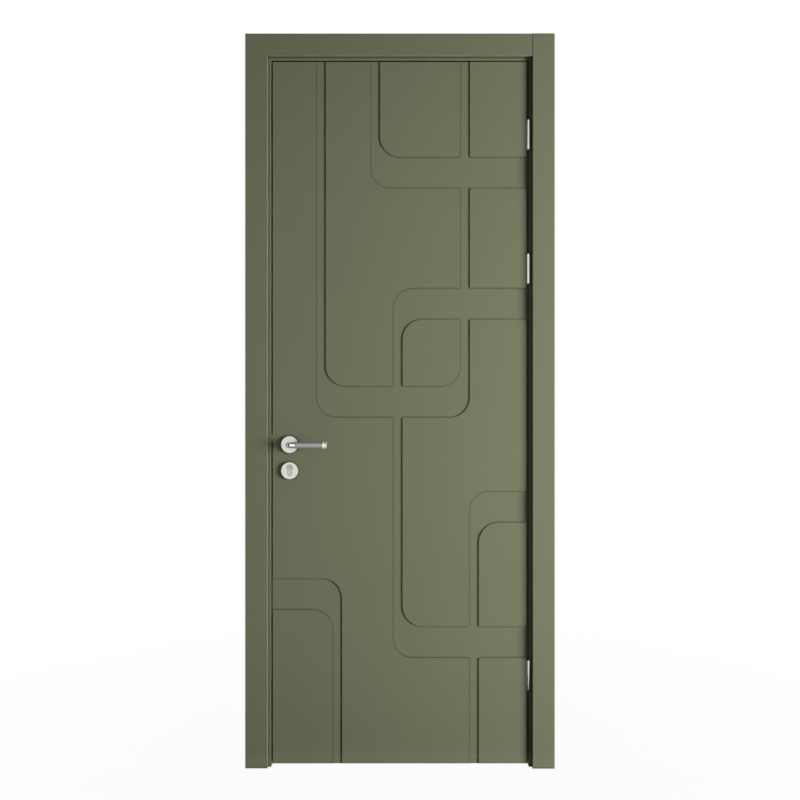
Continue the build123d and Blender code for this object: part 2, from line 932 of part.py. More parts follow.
def write_leaf():
    """Skins, stiles, rails, lock block and core."""
    holes = furniture_holes()
    mortise = lock_mortise()
    front = front_skin() - holes
    rear = eased(skin_board(core_back, leaf_thickness), leaf_thickness) - holes
    inner = half_leaf - stile_width
    middle = (skin_thickness, core_back)
    stile = block((inner, half_leaf), middle, (leaf_bottom, leaf_top))
    lock_stile = stile.mirror(Plane.YZ) - mortise - holes
    for level in hinge_levels:
        recess = hinge_recess(level, half_leaf, 1)
        stile -= recess
        front -= recess
    save("front_skin", front)
    save("rear_skin", rear)
    save("hinge_stile", stile)
    save("lock_stile", lock_stile)
    save("lock_block", lock_block_room() - mortise - holes)
    low = (leaf_bottom, leaf_bottom + bottom_rail_height)
    high = (leaf_top - top_rail_height, leaf_top)
    save("bottom_rail", block((-inner, inner), middle, low))
    save("top_rail", block((-inner, inner), middle, high))
    save("chipboard_core", chipboard_core())


def write_lock():
    """Mortise lock and profile cylinder."""
    save("lock_forend", lock_forend())
    save("lock_case", lock_case())
    save("forend_screws", group(place * screw(forend_screw) for place in forend_screw_places()))
    save("lock_follower", follower())
    save("latch_bolt", latch_bolt())
    save("deadbolt", deadbolt())
    save("cylinder_body", cylinder_body())
    save("cylinder_plug", cylinder_plug())
    save("cylinder_cam", cylinder_cam())
    save("cylinder_screw", cylinder_screw_place() * screw(cylinder_screw))
    save("thumb_turn", thumb_turn())


def write_furniture():
    """Rosettes, levers and the spindle; the rear set mirrors the front one."""
    pieces = {
        "lever_rosette": front_rose * rosette_cover(),
        "lever_rosette_base": front_rose * rosette_base(),
        "key_rosette": front_key_rose * key_rosette(),
        "lever_neck": front_rose * lever_neck(),
        "lever_grip": front_rose * lever_grip(),
        "lever_cap": front_rose * lever_cap(),
    }
    for name, piece in pieces.items():
        save(f"front_{name}", piece)
        save(f"rear_{name}", piece.mirror(mid_leaf_plane))
    save("rosette_bolts", group(rosette_bolts()))
    save("spindle", spindle())
    grub_screw = front_rose * grub_screw_hole(0)
    save("lever_grub_screws", group([grub_screw, grub_screw.mirror(mid_leaf_plane)]))


os.makedirs("parts", exist_ok=True)
write_frame()
write_hinges()
write_leaf()
write_lock()
write_furniture()
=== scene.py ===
import math

import bmesh
import bpy
from mathutils import Matrix, Vector


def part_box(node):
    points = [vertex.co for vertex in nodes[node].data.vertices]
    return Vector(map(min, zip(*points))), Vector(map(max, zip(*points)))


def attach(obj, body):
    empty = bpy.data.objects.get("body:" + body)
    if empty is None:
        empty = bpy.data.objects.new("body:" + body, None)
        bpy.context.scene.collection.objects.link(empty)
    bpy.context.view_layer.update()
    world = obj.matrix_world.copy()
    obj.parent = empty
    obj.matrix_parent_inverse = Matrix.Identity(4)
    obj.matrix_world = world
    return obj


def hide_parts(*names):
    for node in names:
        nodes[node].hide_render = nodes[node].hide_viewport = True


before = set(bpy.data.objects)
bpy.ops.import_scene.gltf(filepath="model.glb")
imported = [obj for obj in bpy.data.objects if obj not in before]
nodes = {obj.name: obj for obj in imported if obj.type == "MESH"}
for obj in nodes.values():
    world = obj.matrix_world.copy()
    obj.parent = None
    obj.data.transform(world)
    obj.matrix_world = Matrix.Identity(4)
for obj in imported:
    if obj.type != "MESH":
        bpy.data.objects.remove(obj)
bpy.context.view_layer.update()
scene = bpy.context.scene
scene.view_settings.view_transform = "Standard"


# Camera: stands squarely in front of the door, just above the handle, and takes in the whole frame. It is
# near enough for the jambs to show a little of their depth.
camera_distance = 3.0
camera_height = 1.1495
picture_span = 2.507
camera = bpy.data.objects.new("camera", bpy.data.cameras.new("camera"))
camera.data.lens = camera.data.sensor_width * camera_distance / picture_span
camera.location = (0, -camera_distance, camera_height)
camera.rotation_euler = (math.radians(90), 0, 0)
scene.collection.objects.link(camera)
scene.camera = camera


# Studio lamps: a tall soft lamp on the right grazes the leaf, so each channel wall that looks away from
# it draws a dark line. A weak wide lamp fills the front, and three more light the left, the back and the top.
def soft_lamp(name, place, target, width, height, power):
    """Rectangular lamp that looks at a point and isn't mirrored by metal."""
    light = bpy.data.lights.new(name, "AREA")
    light.shape = "RECTANGLE"
    light.size, light.size_y = width, height
    light.energy = power
    lamp = bpy.data.objects.new(name, light)
    lamp.location = place
    aim = Vector(target) - Vector(place)
    lamp.rotation_euler = aim.to_track_quat("-Z", "Y").to_euler()
    lamp.visible_glossy = False
    scene.collection.objects.link(lamp)


soft_lamp("right_lamp", (3.6, -1.85, 0.95), (0, 0, 1.0), width=1.4, height=1.6, power=290)
soft_lamp("front_lamp", (-0.8, -3.4, 1.6), (0, 0, 1.1), width=2.4, height=2.4, power=3)
soft_lamp("left_lamp", (-3.0, 1.2, 1.2), (0, 0.1, 1.1), width=1.0, height=1.6, power=50)
soft_lamp("rear_lamp", (-1.2, 3.2, 1.6), (0, 0, 1.1), width=1.8, height=1.8, power=80)
soft_lamp("top_lamp", (0.3, 0.7, 4.3), (0.0, 0.1, 2.2), width=1.6, height=1.0, power=25)


# Floor and surround: a pale floor that keeps a faint shadow, in front of plain white. The white is there
# for the camera and for reflections only, so it doesn't light the door.
def fill(tree, socket, value):
    """Link an output to a socket, or set the socket's own value."""
    if isinstance(value, bpy.types.NodeSocket):
        tree.links.new(value, socket)
    else:
        socket.default_value = value


def add(tree, kind, options=None, **inputs):
    """Add a shader node with its options set and its named inputs filled."""
    node = tree.nodes.new("ShaderNode" + kind)
    for option, value in (options or {}).items():
        setattr(node, option, value)
    for socket, value in inputs.items():
        fill(tree, node.inputs[socket.replace("_", " ")], value)
    return node


def combine(tree, operation, first, second):
    """Result of a two-value Math node."""
    node = add(tree, "Math", {"operation": operation})
    fill(tree, node.inputs[0], first)
    fill(tree, node.inputs[1], second)
    return node.outputs[0]


def own_place(tree):
    """Place on an object, measured in its own axes."""
    return add(tree, "TexCoord").outputs["Object"]


def seen_as_background(tree):
    """One for rays from the camera, from a reflection and through glass."""
    rays = add(tree, "LightPath").outputs
    seen = combine(tree, "MAXIMUM", rays["Is Camera Ray"], rays["Is Glossy Ray"])
    return combine(tree, "MAXIMUM", seen, rays["Is Transmission Ray"])


def mix_shaders(tree, share, first, second):
    """Shader mixed from two."""
    node = add(tree, "MixShader", Fac=share)
    tree.links.new(first.outputs[0], node.inputs[1])
    tree.links.new(second.outputs[0], node.inputs[2])
    return node


surround_fill = 0.05
world = bpy.data.worlds.new("surround")
world.use_nodes = True
sky = world.node_tree
sky.nodes.clear()
soft_sky = add(sky, "Background", Color=(1, 1, 1, 1), Strength=surround_fill)
white_sky = add(sky, "Background", Color=(1, 1, 1, 1), Strength=1.0)
sky_mix = mix_shaders(sky, seen_as_background(sky), soft_sky, white_sky)
sky.links.new(sky_mix.outputs[0], add(sky, "OutputWorld").inputs["Surface"])
scene.world = world

floor_half = 30.0
near_whiteness = 0.96
near_reach = 0.45
far_reach = 2.2
floor_mesh = bpy.data.meshes.new("floor")
floor_corners = [(x * floor_half, y * floor_half, 0) for x, y in ((-1, -1), (1, -1), (1, 1), (-1, 1))]
floor_mesh.from_pydata(floor_corners, [], [(0, 1, 2, 3)])
floor = bpy.data.objects.new("floor", floor_mesh)
scene.collection.objects.link(floor)
floor_paint = bpy.data.materials.new("pale_floor")
floor_paint.use_nodes = True
floor_tree = floor_paint.node_tree
floor_base = floor_tree.nodes["Principled BSDF"]
floor_base.inputs["Base Color"].default_value = (0.2, 0.2, 0.195, 1)
floor_base.inputs["Roughness"].default_value = 0.8
floor_glow = add(floor_tree, "Emission", Color=(1, 1, 1, 1), Strength=1.0)
from_door = add(floor_tree, "VectorMath", {"operation": "LENGTH"}, Vector=own_place(floor_tree))
floor_whiteness = add(
    floor_tree,
    "MapRange",
    Value=from_door.outputs["Value"],
    From_Min=near_reach,
    From_Max=far_reach,
    To_Min=near_whiteness,
).outputs["Result"]
floor_share = combine(floor_tree, "MULTIPLY", seen_as_background(floor_tree), floor_whiteness)
floor_mix = mix_shaders(floor_tree, floor_share, floor_base, floor_glow)
floor_tree.links.new(floor_mix.outputs[0], floor_tree.nodes["Material Output"].inputs["Surface"])
floor_mesh.materials.append(floor_paint)


# Black flags: dark boards above, below and beside the space in front of the door. Only polished metal
# shows them, as the dark edges along its bright middle. The right one is open at the lock's height.
flag_top = 2.45
flag_foot = 0.03
flag_near = -0.03
flag_far = -1.1
flag_foot_far = -0.77
flag_left = -1.7
flag_right = 1.3
flag_slot_low = 0.6
flag_slot_high = 1.4
flag_corners = [
    (flag_left, flag_far, flag_top),
    (flag_right, flag_far, flag_top),
    (flag_right, flag_near, flag_top),
    (flag_left, flag_near, flag_top),
    (flag_left, flag_foot_far, flag_foot),
    (flag_right, flag_foot_far, flag_foot),
    (flag_right, flag_near, flag_foot),
    (flag_left, flag_near, flag_foot),
    (flag_right, flag_far, flag_slot_high),
    (flag_right, flag_near, flag_slot_high),
    (flag_right, flag_far, flag_slot_low),
    (flag_right, flag_near, flag_slot_low),
]
flag_boards = [(0, 1, 2, 3), (4, 5, 6, 7), (0, 3, 7, 4), (1, 2, 9, 8), (10, 11, 6, 5)]
flag_mesh = bpy.data.meshes.new("black_flags")
flag_mesh.from_pydata(flag_corners, [], flag_boards)
flags = bpy.data.objects.new("black_flags", flag_mesh)
scene.collection.objects.link(flags)
flags.visible_camera = flags.visible_diffuse = flags.visible_shadow = False
flags.visible_transmission = flags.visible_volume_scatter = False
flag_paint = bpy.data.materials.new("flag_black")
flag_paint.use_nodes = True
flag_shader = flag_paint.node_tree.nodes["Principled BSDF"]
flag_shader.inputs["Base Color"].default_value = (0.01, 0.01, 0.01, 1)
flag_shader.inputs["Roughness"].default_value = 1.0
flag_shader.inputs["Specular IOR Level"].default_value = 0.0
flag_mesh.materials.append(flag_paint)


# Lining: two side boards and a head of fibreboard, sprayed with the same matt sage green lacquer as the
# leaf. The head is screwed between the sides, and the arrises are just broken with fine paper.
def paint(red, green, blue):
    """Linear colour from the three 0 to 255 values of a paint sample."""
    return tuple(((part / 255 + 0.055) / 1.055) ** 2.4 for part in (red, green, blue)) + (1,)


def effect_group(name, inputs):
    """Empty effect with named inputs and the three outputs of a finish, and its two end nodes."""
    group = bpy.data.node_groups.new(name, "ShaderNodeTree")
    for socket, value in inputs.items():
        kind = "NodeSocketFloat" if isinstance(value, float) else "NodeSocketColor"
        kind = "NodeSocketVector" if isinstance(value, tuple) and len(value) == 3 else kind
        group.interface.new_socket(socket, in_out="INPUT", socket_type=kind).default_value = value
    for socket, kind in (("Colour", "Color"), ("Roughness", "Float"), ("Normal", "Vector")):
        group.interface.new_socket(socket, in_out="OUTPUT", socket_type="NodeSocket" + kind)
    return group, group.nodes.new("NodeGroupInput").outputs, group.nodes.new("NodeGroupOutput").inputs


def between(tree, value, low, high):
    """Stretch the middle of a noise value to a low and a high."""
    node = add(tree, "MapRange", Value=value, From_Min=0.3, From_Max=0.7, To_Min=low, To_Max=high)
    return node.outputs["Result"]


def about_one(tree, value, spread):
    """Stretch the middle of a noise value evenly to both sides of one."""
    return between(tree, value, combine(tree, "SUBTRACT", 1.0, spread), combine(tree, "ADD", 1.0, spread))


def noise(tree, place, scale, detail, **more):
    """Cloudy value over a surface."""
    return add(tree, "TexNoise", Vector=place, Scale=scale, Detail=detail, **more).outputs["Fac"]


def shaded(tree, colour, value):
    """Colour made lighter or darker by a value about one."""
    return add(tree, "HueSaturation", Color=colour, Value=value).outputs["Color"]


def bumped(tree, height, depth):
    """Normal of a surface raised by a height from 0 to 1, depth metres tall."""
    return add(tree, "Bump", Height=height, Distance=depth, Strength=1.0).outputs["Normal"]


def give(tree, made, colour, roughness, normal):
    """Feed the three outputs of an effect."""
    for socket, value in (("Colour", colour), ("Roughness", roughness), ("Normal", normal)):
        tree.links.new(value, made[socket])


# Lacquer effect: a faint random cloud in the colour, a varied gloss and a fine peel, with painted shade in
# its colour as well.
sprayed, given, made = effect_group(
    "sprayed_lacquer_and_painted_shade",
    {
        "Colour": (0.2, 0.2, 0.2, 1.0),
        "Cloud": 0.02,
        "Gloss Low": 0.4,
        "Gloss High": 0.5,
        "Peel Depth": 0.00001,
        "Painted Shade Reach": 0.006,
        "Painted Corner Shade": 1.5,
    },
)
lacquer_place = own_place(sprayed)
lacquer_cloud = about_one(sprayed, noise(sprayed, lacquer_place, 2.6, 3.0), given["Cloud"])
# Painted shade: the ambient occlusion node darkens the lacquer's colour wherever other surfaces lie within
# the reach. This darkens inner corners, the gaps round the leaf and the feet of the channel walls.
open_share = add(sprayed, "AmbientOcclusion", {"samples": 8}, Distance=given["Painted Shade Reach"]).outputs["AO"]
painted_corner_shade = combine(sprayed, "POWER", open_share, given["Painted Corner Shade"])
sheen_cloud = noise(sprayed, lacquer_place, 14.0, 4.0)
give(
    sprayed,
    made,
    shaded(sprayed, given["Colour"], combine(sprayed, "MULTIPLY", painted_corner_shade, lacquer_cloud)),
    between(sprayed, sheen_cloud, given["Gloss Low"], given["Gloss High"]),
    bumped(sprayed, noise(sprayed, lacquer_place, 420.0, 2.0), given["Peel Depth"]),
)


def material(name, effect, effect_values, **fixed):
    """Finish whose changing sockets come from an effect, with the plain ones set on the shader."""
    finish = bpy.data.materials.new(name)
    finish.use_nodes = True
    tree = finish.node_tree
    shader = tree.nodes["Principled BSDF"]
    for socket, value in fixed.items():
        shader.inputs[socket.replace("_", " ")].default_value = value
    group = add(tree, "Group", {"node_tree": effect})
    for socket, value in effect_values.items():
        group.inputs[socket].default_value = value
    for output, socket in (("Colour", "Base Color"), ("Roughness", "Roughness"), ("Normal", "Normal")):
        tree.links.new(group.outputs[output], shader.inputs[socket])
    return finish


sage_green = paint(112, 116, 92)
lacquer_specular = 0.25
lacquer_values = {
    "Colour": sage_green,
    "Cloud": 0.015,
    "Gloss Low": 0.46,
    "Gloss High": 0.54,
    "Peel Depth": 0.000008,
}
green_lacquer = material("sage_green_lacquer", sprayed, lacquer_values, Specular_IOR_Level=lacquer_specular)


weld_reach = 1e-5
flat_angle = math.radians(0.2)


def dress(finish, *names, arris=0.0, limit=50):
    """Give a finish to CAD nodes whose shape is right, with their sharp edges broken by an arris."""
    for name in names:
        node = nodes[name]
        for material_slot in node.material_slots:
            material_slot.material = finish
        weld = node.modifiers.new("weld", "WELD")
        weld.merge_threshold = weld_reach
        if arris:
            plain = node.modifiers.new("plain", "DECIMATE")
            plain.decimate_type = "DISSOLVE"
            plain.angle_limit = flat_angle
            bevel = node.modifiers.new("arris", "BEVEL")
            bevel.width = arris
            bevel.segments = 3
            bevel.limit_method = "ANGLE"
            bevel.angle_limit = math.radians(limit)
        node.modifiers.new("normals", "WEIGHTED_NORMAL")


dress(green_lacquer, "hinge_jamb", "lock_jamb", "head_jamb", arris=0.0006)


# Stops: three lacquered strips planted on the lining, for the leaf to close against. A kerf along each
# of them takes the barb of the seal.
dress(green_lacquer, "lock_side_stop", "hinge_side_stop", "head_stop", arris=0.0008)


# Seal: one length of soft grey-green rubber, bent round both sides and the head. Its barb is pressed into
# the kerf of the stops, and its bulb meets the back of the closed leaf.
rubber, given, made = effect_group(
    "extruded_rubber",
    {"Colour": (0.1, 0.1, 0.1, 1.0), "Dust": 0.1},
)
rubber_place = own_place(rubber)
rubber_dust = noise(rubber, rubber_place, 60.0, 5.0)
give(
    rubber,
    made,
    shaded(rubber, given["Colour"], about_one(rubber, rubber_dust, given["Dust"])),
    between(rubber, rubber_dust, 0.55, 0.75),
    bumped(rubber, noise(rubber, rubber_place, 1500.0, 2.0), 0.00002),
)
seal_rubber = material("seal_rubber", rubber, {"Colour": paint(74, 76, 68), "Dust": 0.12})
dress(seal_rubber, "door_seal")


# Architraves: lacquered boards with rounded front arrises, tongued into the lining. The head is butted
# between the legs. In front, its joint on the lock side is filled and sprayed over, so it doesn't show.
def meshed(builder, name, sharp=math.radians(35)):
    """Mesh from a bmesh, smooth but for its sharp edges."""
    bmesh.ops.recalc_face_normals(builder, faces=builder.faces)
    for face in builder.faces:
        face.smooth = True
    for edge in builder.edges:
        edge.smooth = edge.calc_face_angle(0) < sharp
    mesh = bpy.data.meshes.new(name)
    builder.to_mesh(mesh)
    builder.free()
    return mesh


into_wall = Matrix(((1, 0, 0), (0, 0, 1), (0, 1, 0))).to_4x4()


def prism(outline, low, high, place):
    """Straight solid from a closed outline; place takes its X, Y and height into the row frame."""
    builder = bmesh.new()
    ends = []
    for height in (low, high):
        ends.append([builder.verts.new(place @ Vector((point[0], point[1], height))) for point in outline])
        builder.faces.new(ends[-1])
    for index in range(len(outline)):
        builder.faces.new((ends[0][index - 1], ends[0][index], ends[1][index], ends[1][index - 1]))
    return meshed(builder, "blank")


def reshaped(mesh, name, change=None):
    """Mesh smoothed again, after any change made to it as a bmesh."""
    builder = bmesh.new()
    builder.from_mesh(mesh)
    if change:
        change(builder)
    return meshed(builder, name)


def piece(name, mesh, body, finish, replaced=(), place=None):
    """Hang a finished mesh on its body, in place of the CAD nodes that it stands for."""
    made_piece = bpy.data.objects.new(name, mesh)
    scene.collection.objects.link(made_piece)
    if place is not None:
        made_piece.matrix_world = place
    mesh.materials.clear()
    mesh.materials.append(finish)
    made_piece.modifiers.new("normals", "WEIGHTED_NORMAL").keep_sharp = True
    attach(made_piece, body)
    if replaced:
        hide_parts(*replaced)
    return made_piece


trim_low, trim_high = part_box("front_architrave_head")
trim_inside = trim_high.x
trim_outside = -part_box("front_architrave_lock_side")[0].x
trim_face = trim_low.y
trim_rounding = 0.0025
joint_inset = 0.00001
touching = 1e-6
trim_outline = [
    (-trim_outside, 0),
    (-trim_inside, 0),
    (-trim_inside, trim_low.z),
    (trim_inside, trim_low.z),
    (trim_inside, trim_high.z),
    (-trim_outside, trim_high.z),
]


def round_front(builder):
    """Round the front arrises, but leave the head's end on the hinge side square."""
    front = []
    for edge in builder.edges:
        in_front = all(abs(vert.co.y - trim_face) < touching for vert in edge.verts)
        if in_front and min(vert.co.x for vert in edge.verts) < trim_inside - touching:
            front.append(edge)
    bmesh.ops.bevel(builder, geom=front, offset=trim_rounding, segments=5, profile=0.5, affect="EDGES")


def part_of_trim(keep_leg):
    """Change that keeps either the leg or the head of the joined boards."""

    def part(builder):
        cut = bmesh.ops.bisect_plane(
            builder,
            geom=builder.verts[:] + builder.edges[:] + builder.faces[:],
            plane_co=(-trim_inside + joint_inset, 0, 0),
            plane_no=(1, 0, 0),
            clear_outer=keep_leg,
            clear_inner=not keep_leg,
        )
        rim = [edge for edge in cut["geom_cut"] if isinstance(edge, bmesh.types.BMEdge)]
        bmesh.ops.edgeloop_fill(builder, edges=rim)

    return part


joined_trim = reshaped(prism(trim_outline, trim_face, 0, into_wall), "joined_trim", round_front)
for name, keep_leg, node in (
    ("front_leg_lock_side", True, "front_architrave_lock_side"),
    ("front_head", False, "front_architrave_head"),
):
    board = reshaped(joined_trim, name, part_of_trim(keep_leg))
    piece(name, board, "frame", green_lacquer, [node])
dress(green_lacquer, "front_architrave_hinge_side", arris=0.0002)
dress(
    green_lacquer, *(f"rear_architrave_{side}" for side in ("hinge_side", "lock_side", "head")), arris=0.0005
)


# Front skin: a fibreboard face with flat channels routed 3 mm deep, which overlap as rounded loops and
# run out at the edges of the leaf. The lacquer softens both the upper arris and the foot of each wall.
leaf_low, leaf_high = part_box("front_skin")
leaf_edge = leaf_high.x
skin_back = leaf_high.y
narrow_channel = 0.031
broad_channel = 0.099
channel_depth = 0.003
channel_corner = 0.063
channel_overrun = 0.04
arris_round = 0.0006
foot_round = 0.0003
leaf_easing = 0.002
edge_margin = 0.0011
steep = 1.2


def rounded(corners, radii, closed=True, step=math.radians(4)):
    """Outline with its corners turned as arcs of the given radii."""
    corners = [Vector(corner) for corner in corners]
    points = []
    for index, (corner, radius) in enumerate(zip(corners, radii)):
        if radius == 0 or (not closed and index in (0, len(corners) - 1)):
            points.append(corner)
            continue
        back = corners[index - 1] - corner
        ahead = corners[(index + 1) % len(corners)] - corner
        half = back.angle(ahead) / 2
        setback = radius / math.tan(half)
        centre = corner + (back.normalized() + ahead.normalized()).normalized() * (radius / math.sin(half))
        spoke = corner + back.normalized() * setback - centre
        sweep = math.copysign(math.pi - 2 * half, ahead.cross(back))
        pieces = max(1, math.ceil(abs(sweep) / step))
        points += [centre + Matrix.Rotation(sweep * share / pieces, 2) @ spoke for share in range(pieces + 1)]
    return points


along_x = Matrix(((0, 0, 1), (1, 0, 0), (0, 1, 0))).to_4x4()


def box_outline(low_x, high_x, low_y, high_y):
    """Corners of a rectangle."""
    return [(low_x, low_y), (high_x, low_y), (high_x, high_y), (low_x, high_y)]


def carved(mesh, cutters, operation="DIFFERENCE"):
    """Mesh that is left when others are cut from it or joined to it."""
    blank = bpy.data.objects.new("blank", mesh)
    helpers = [blank]
    for cutter in cutters:
        helpers.append(bpy.data.objects.new("cutter", cutter))
        modifier = blank.modifiers.new("cut", "BOOLEAN")
        modifier.operation = operation
        modifier.solver = "EXACT"
        modifier.object = helpers[-1]
    for helper in helpers:
        scene.collection.objects.link(helper)
    result = bpy.data.meshes.new_from_object(blank.evaluated_get(bpy.context.evaluated_depsgraph_get()))
    for helper in helpers:
        bpy.data.objects.remove(helper)
    return result


def channel(widths, *route):
    """Outline of a channel along level and upright runs, with its corners rounded."""
    route = [Vector(point) for point in route]
    ways = [(after - before).normalized() for before, after in zip(route, route[1:])]
    sides = [Vector((-way.y, way.x)) * width / 2 for way, width in zip(ways, widths)]
    left, right, radii = [], [], []
    for index, point in enumerate(route):
        before = sides[index - 1] if index > 0 else Vector((0, 0))
        after = sides[index] if index < len(sides) else Vector((0, 0))
        left.append(point + before + after)
        right.append(point - before - after)
        radii.append(channel_corner if 0 < index < len(route) - 1 else 0)
    return rounded(left + right[::-1], radii + radii[::-1])


over = leaf_high.z + channel_overrun
under = leaf_low.z - channel_overrun
hinge_side = leaf_edge + channel_overrun
leaf_foot = leaf_low.z
hook = {"left": -0.248, "right": 0.2035, "level": leaf_foot + 1.134}
top_drop = {"x": -0.078, "level": leaf_foot + 1.852}
loop = {"x": -0.0075, "top": leaf_foot + 1.4415, "bottom": leaf_foot + 0.3805}
right_foot = {"x": 0.2315, "level": leaf_foot + 0.805}
left_foot = {"x": -0.197, "level": leaf_foot + 0.531}
channel_outlines = [
    channel(
        (narrow_channel, broad_channel, narrow_channel),
        (hook["left"], over),
        (hook["left"], hook["level"]),
        (hook["right"], hook["level"]),
        (hook["right"], over),
    ),
    channel(
        (narrow_channel, broad_channel),
        (top_drop["x"], over),
        (top_drop["x"], top_drop["level"]),
        (hinge_side, top_drop["level"]),
    ),
    channel(
        (broad_channel, narrow_channel, broad_channel),
        (hinge_side, loop["top"]),
        (loop["x"], loop["top"]),
        (loop["x"], loop["bottom"]),
        (hinge_side, loop["bottom"]),
    ),
    channel(
        (broad_channel, narrow_channel),
        (hinge_side, right_foot["level"]),
        (right_foot["x"], right_foot["level"]),
        (right_foot["x"], under),
    ),
    channel(
        (broad_channel, narrow_channel),
        (-hinge_side, left_foot["level"]),
        (left_foot["x"], left_foot["level"]),
        (left_foot["x"], under),
    ),
]

spindle_low, spindle_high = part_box("spindle")
spindle_x = (spindle_low.x + spindle_high.x) / 2
spindle_z = (spindle_low.z + spindle_high.z) / 2
leaf_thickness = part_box("rear_skin")[1].y
mid_leaf = leaf_thickness / 2
plug_low, plug_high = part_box("cylinder_plug")
cylinder_z = (plug_low.z + plug_high.z) / 2
cylinder_low, cylinder_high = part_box("cylinder_body")
profile_radius = cylinder_high.z - cylinder_z
profile_stem = 0.010
profile_drop = cylinder_z - cylinder_low.z - profile_stem / 2
spindle_hole_radius = 0.010
cylinder_hole_room = 0.001
rosette_bolt_spacing = 0.038
bolt_sleeve_radius = 0.003


def circle(centre_x, centre_y, radius, sides=64):
    """Points round a circle."""
    turns = [2 * math.pi * index / sides for index in range(sides)]
    return [(centre_x + radius * math.cos(turn), centre_y + radius * math.sin(turn)) for turn in turns]


def euro_profile(room=0.0, upright=1, sides=48):
    """Outline of the profile cylinder about its plug; upright is -1 where the stem points up."""
    barrel = profile_radius + room
    half_stem = profile_stem / 2 + room
    meet = math.asin(half_stem / barrel)
    turns = [-math.pi / 2 + meet + (2 * math.pi - 2 * meet) * index / sides for index in range(sides + 1)]
    points = [(barrel * math.cos(turn), barrel * math.sin(turn)) for turn in turns]
    foot = [math.pi + math.pi * index / (sides // 3) for index in range(sides // 3 + 1)]
    points += [(half_stem * math.cos(turn), -profile_drop + half_stem * math.sin(turn)) for turn in foot]
    return [(x, upright * y) for x, y in points]


def moved(outline, x, y):
    """Outline shifted to a place."""
    return [(x + point[0], y + point[1]) for point in outline]


hinge_low, hinge_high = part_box("hinge_door_leaves")
hinge_height = 0.09
hinge_plate = 0.0025
hinge_plate_depth = 0.03
middle_hinge_drop = 0.65
hinge_levels = (
    hinge_high.z - hinge_height / 2,
    leaf_high.z - middle_hinge_drop,
    hinge_low.z + hinge_height / 2,
)
joint_clearance = 0.0002


def ease_leaf(builder):
    """Ease the four outer edges of the visible face."""
    front = [edge for edge in builder.edges if all(abs(vert.co.y) < touching for vert in edge.verts)]
    bmesh.ops.bevel(
        builder, geom=front, offset=leaf_easing, segments=3, profile=0.5, affect="EDGES", clamp_overlap=True
    )


def soften_channels(builder):
    """Round the arris and the foot of each channel wall."""
    bmesh.ops.remove_doubles(builder, verts=builder.verts, dist=touching)
    bmesh.ops.dissolve_limit(
        builder, angle_limit=math.radians(0.5), verts=builder.verts, edges=builder.edges
    )
    side = leaf_edge - edge_margin
    foot, head = leaf_low.z + edge_margin, leaf_high.z - edge_margin
    for depth, easing in ((0, arris_round), (channel_depth, foot_round)):
        walls = []
        for edge in builder.edges:
            middle = (edge.verts[0].co + edge.verts[1].co) / 2
            level = all(abs(vert.co.y - depth) < touching for vert in edge.verts)
            inside = abs(middle.x) < side and foot < middle.z < head
            if level and inside and edge.calc_face_angle(0) > steep:
                walls.append(edge)
        bmesh.ops.bevel(
            builder, geom=walls, offset=easing, segments=3, profile=0.5, affect="EDGES", clamp_overlap=True
        )


face_board = prism(box_outline(-leaf_edge, leaf_edge, leaf_low.z, leaf_high.z), 0, skin_back, into_wall)
face_board = reshaped(face_board, "face_board", ease_leaf)
cut_start = -0.002
cut_end = 0.02
cut_over = 0.001
recess_front = -0.01
skin_cutters = [prism(outline, cut_start, channel_depth, into_wall) for outline in channel_outlines]
holes = [
    circle(spindle_x, spindle_z, spindle_hole_radius),
    moved(euro_profile(cylinder_hole_room), spindle_x, cylinder_z),
]
for side in (-1, 1):
    holes.append(circle(spindle_x + side * rosette_bolt_spacing / 2, spindle_z, bolt_sleeve_radius, 24))
skin_cutters += [prism(hole, cut_start, cut_end, into_wall) for hole in holes]
half_recess = hinge_height / 2 + joint_clearance
for level in hinge_levels:
    recess = box_outline(recess_front, hinge_plate_depth, level - half_recess, level + half_recess)
    skin_cutters.append(prism(recess, leaf_edge - hinge_plate, leaf_edge + cut_over, along_x))
routed_skin = reshaped(carved(face_board, skin_cutters), "routed_front_skin", soften_channels)
piece("routed_front_skin", routed_skin, "door", green_lacquer, ["front_skin"])


# Rear skin: the same fibreboard face as in front, left plain. It is glued to the core and sprayed with the
# same lacquer.
dress(green_lacquer, "rear_skin")


# Leaf core: softwood stiles and rails round a chipboard slab, with a hardwood block behind the lock. The
# long edges of the stiles are lacquered with the faces, and the top and bottom show bare wood.
timber, given, made = effect_group(
    "planed_timber",
    {
        "Light Wood": (0.6, 0.45, 0.25, 1.0),
        "Dark Wood": (0.4, 0.25, 0.12, 1.0),
        "Stretch": (1.0, 1.0, 0.05),
        "Grain Size": 90.0,
    },
)


def stretched(tree, stretch):
    """Place drawn out along the grain."""
    node = add(tree, "VectorMath", {"operation": "MULTIPLY"})
    fill(tree, node.inputs[0], own_place(tree))
    fill(tree, node.inputs[1], stretch)
    return node.outputs[0]


def blend_colours(tree, share, first, second):
    """Colour mixed from two."""
    node = add(tree, "Mix", {"data_type": "RGBA"})
    for index, value in ((0, share), (6, first), (7, second)):
        fill(tree, node.inputs[index], value)
    return node.outputs[2]


timber_along = stretched(timber, given["Stretch"])
timber_rings = noise(timber, timber_along, given["Grain Size"], 4.0, Distortion=0.6)
timber_share = between(timber, timber_rings, 0.0, 1.0)
give(
    timber,
    made,
    blend_colours(timber, timber_share, given["Light Wood"], given["Dark Wood"]),
    between(timber, timber_rings, 0.55, 0.75),
    bumped(timber, noise(timber, timber_along, 900.0, 2.0), 0.00006),
)

